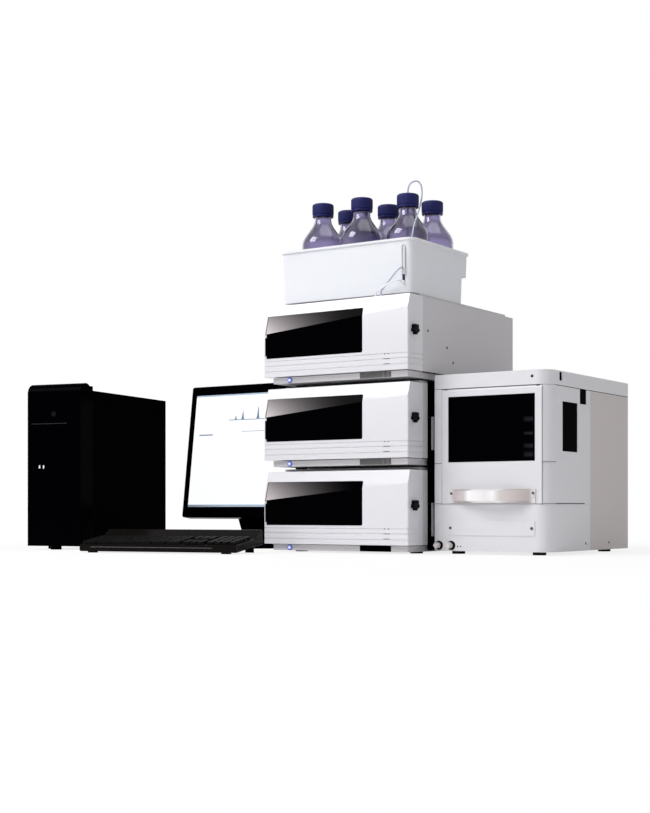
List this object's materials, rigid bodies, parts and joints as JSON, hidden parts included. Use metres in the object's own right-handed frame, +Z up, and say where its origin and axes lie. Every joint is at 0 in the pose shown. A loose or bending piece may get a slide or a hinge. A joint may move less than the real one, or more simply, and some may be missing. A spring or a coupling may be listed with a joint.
{
  "type": "hplc system",
  "caption": "Bench liquid chromatography set: stacked pump and detector modules under a solvent bottle tray, an autosampler, and a computer with monitor and keyboard.",
  "frame": {"origin": "on the bench, under the middle of the whole set", "axes": "+X to the right along the fronts of the stack and autosampler, +Y to the back, +Z up"},
  "size_m": [1.4242, 0.8258, 0.8801],
  "materials": {
    "front_white": "smooth moulded plastic, satin",
    "cover_grey": "fine powder coat",
    "pan_grey": "fine powder coat",
    "tinted_panel": "deep tinted gloss",
    "black_plastic": "fine moulded grain",
    "lit_button": "clear button with a blue light",
    "polished_steel": "turned and polished",
    "drive_grey": "plain machined",
    "rubber": "matte",
    "tray_white": "smooth moulded plastic",
    "bottle_glass": "clear glass",
    "cap_blue": "ribbed moulded plastic",
    "sampler_white": "satin paint",
    "sampler_grey": "fine powder coat",
    "handle_white": "gloss moulded plastic",
    "rack_grey": "anodised",
    "brushed_metal": "brushed",
    "tower_black": "fine texture",
    "gloss_black": "gloss",
    "screen_white": "lit screen",
    "clear_line": "translucent tube"
  },
  "bodies": {
    "base": {"lower_chassis": "pan_grey", "middle_chassis": "pan_grey", "upper_chassis": "pan_grey", "lower_cover": "cover_grey", "middle_cover": "cover_grey", "upper_cover": "cover_grey", "lower_front": "front_white", "middle_front": "front_white", "upper_front": "front_white", "lower_fluidics": "polished_steel", "middle_fluidics": "polished_steel", "upper_fluidics": "polished_steel", "lower_drive": "drive_grey", "middle_drive": "drive_grey", "upper_optics": "drive_grey", "rubber_feet": "rubber", "solvent_tray": "tray_white", "bottle_1": "bottle_glass", "bottle_2": "bottle_glass", "bottle_3": "bottle_glass", "bottle_4": "bottle_glass", "bottle_5": "bottle_glass", "bottle_6": "bottle_glass", "sampler_housing": "sampler_white", "sampler_rear_cover": "sampler_grey", "sampler_top_cover": "sampler_white", "sampler_side_window": "tinted_panel", "sampler_service_panel": "sampler_white", "sampler_fittings": "handle_white", "vial_rack": "rack_grey", "tower_case": "tower_black", "tower_bezel": "gloss_black", "monitor_stand": "gloss_black", "keyboard_case": "black_plastic", "keyboard_keys": "black_plastic", "solvent_line": "clear_line", "drain_line": "clear_line"},
    "lower_window_door": {"lower_window_door": "tinted_panel"},
    "lower_valve_knob": {"lower_valve_knob": "black_plastic"},
    "lower_power_button": {"lower_power_button": "lit_button"},
    "middle_window_door": {"middle_window_door": "tinted_panel"},
    "middle_valve_knob": {"middle_valve_knob": "black_plastic"},
    "middle_power_button": {"middle_power_button": "lit_button"},
    "upper_window_door": {"upper_window_door": "tinted_panel"},
    "upper_valve_knob": {"upper_valve_knob": "black_plastic"},
    "upper_power_button": {"upper_power_button": "lit_button"},
    "cap_1": {"cap_1": "cap_blue"},
    "cap_2": {"cap_2": "cap_blue"},
    "cap_3": {"cap_3": "cap_blue"},
    "cap_4": {"cap_4": "cap_blue"},
    "cap_5": {"cap_5": "cap_blue"},
    "cap_6": {"cap_6": "cap_blue"},
    "sampler_door": {"sampler_door": "sampler_white", "sampler_door_window": "tinted_panel", "sampler_handle": "handle_white"},
    "needle_arm": {"needle_arm": "brushed_metal"},
    "needle": {"needle": "polished_steel"},
    "tower_power_button": {"tower_power_button": "black_plastic"},
    "monitor": {"monitor_housing": "gloss_black", "monitor_screen": "screen_white"}
  },
  "joints": [
    {"name": "lower_window_door_hinge", "type": "hinge", "parent": "base", "child": "lower_window_door", "pos_m": [0.004, -0.11663, 0.12], "axis": [0, 0, -1], "range_deg": [0, 90]},
    {"name": "lower_valve_turn", "type": "hinge", "parent": "base", "child": "lower_valve_knob", "pos_m": [0.4016, -0.09463, 0.112], "axis": [1, 0, 0], "range_deg": [0, 180]},
    {"name": "lower_power_press", "type": "slide", "parent": "base", "child": "lower_power_button", "axis": [0, 1, 0], "range_m": [0, 0.002], "stiffness_N_per_m": 600, "springref_m": -0.001},
    {"name": "middle_window_door_hinge", "type": "hinge", "parent": "base", "child": "middle_window_door", "pos_m": [0.004, -0.11663, 0.32], "axis": [0, 0, -1], "range_deg": [0, 90]},
    {"name": "middle_valve_turn", "type": "hinge", "parent": "base", "child": "middle_valve_knob", "pos_m": [0.4016, -0.09463, 0.312], "axis": [1, 0, 0], "range_deg": [0, 180]},
    {"name": "middle_power_press", "type": "slide", "parent": "base", "child": "middle_power_button", "axis": [0, 1, 0], "range_m": [0, 0.002], "stiffness_N_per_m": 600, "springref_m": -0.001},
    {"name": "upper_window_door_hinge", "type": "hinge", "parent": "base", "child": "upper_window_door", "pos_m": [0.004, -0.11663, 0.52], "axis": [0, 0, -1], "range_deg": [0, 90]},
    {"name": "upper_valve_turn", "type": "hinge", "parent": "base", "child": "upper_valve_knob", "pos_m": [0.4016, -0.09463, 0.512], "axis": [1, 0, 0], "range_deg": [0, 180]},
    {"name": "upper_power_press", "type": "slide", "parent": "base", "child": "upper_power_button", "axis": [0, 1, 0], "range_m": [0, 0.002], "stiffness_N_per_m": 600, "springref_m": -0.001},
    {"name": "cap_1_lift", "type": "slide", "parent": "base", "child": "cap_1", "axis": [0, 0, 1], "range_m": [0, 0.05]},
    {"name": "cap_2_lift", "type": "slide", "parent": "base", "child": "cap_2", "axis": [0, 0, 1], "range_m": [0, 0.05]},
    {"name": "cap_3_turn", "type": "hinge", "parent": "base", "child": "cap_3", "pos_m": [0.3256, 0.00937, 0.83], "axis": [0, 0, 1], "range_deg": [-180, 180]},
    {"name": "cap_4_lift", "type": "slide", "parent": "base", "child": "cap_4", "axis": [0, 0, 1], "range_m": [0, 0.05]},
    {"name": "cap_5_lift", "type": "slide", "parent": "base", "child": "cap_5", "axis": [0, 0, 1], "range_m": [0, 0.05]},
    {"name": "cap_6_lift", "type": "slide", "parent": "base", "child": "cap_6", "axis": [0, 0, 1], "range_m": [0, 0.05]},
    {"name": "sampler_door_lift", "type": "hinge", "parent": "base", "child": "sampler_door", "pos_m": [0.5686, -0.03213, 0.3707], "axis": [-1, 0, 0], "range_deg": [0, 80]},
    {"name": "needle_arm_travel", "type": "slide", "parent": "base", "child": "needle_arm", "axis": [1, 0, 0], "range_m": [-0.1, 0.1]},
    {"name": "needle_travel", "type": "slide", "parent": "needle_arm", "child": "needle", "axis": [0, 0, 1], "range_m": [-0.034, 0]},
    {"name": "tower_power_press", "type": "slide", "parent": "base", "child": "tower_power_button", "axis": [-0.1857, 0.9826, 0], "range_m": [0, 0.002], "stiffness_N_per_m": 600, "springref_m": -0.001},
    {"name": "monitor_tilt", "type": "hinge", "parent": "base", "child": "monitor", "pos_m": [-0.2344, 0.18868, 0.22175], "axis": [-1, 0, 0], "range_deg": [-12, 8]}
  ]
}
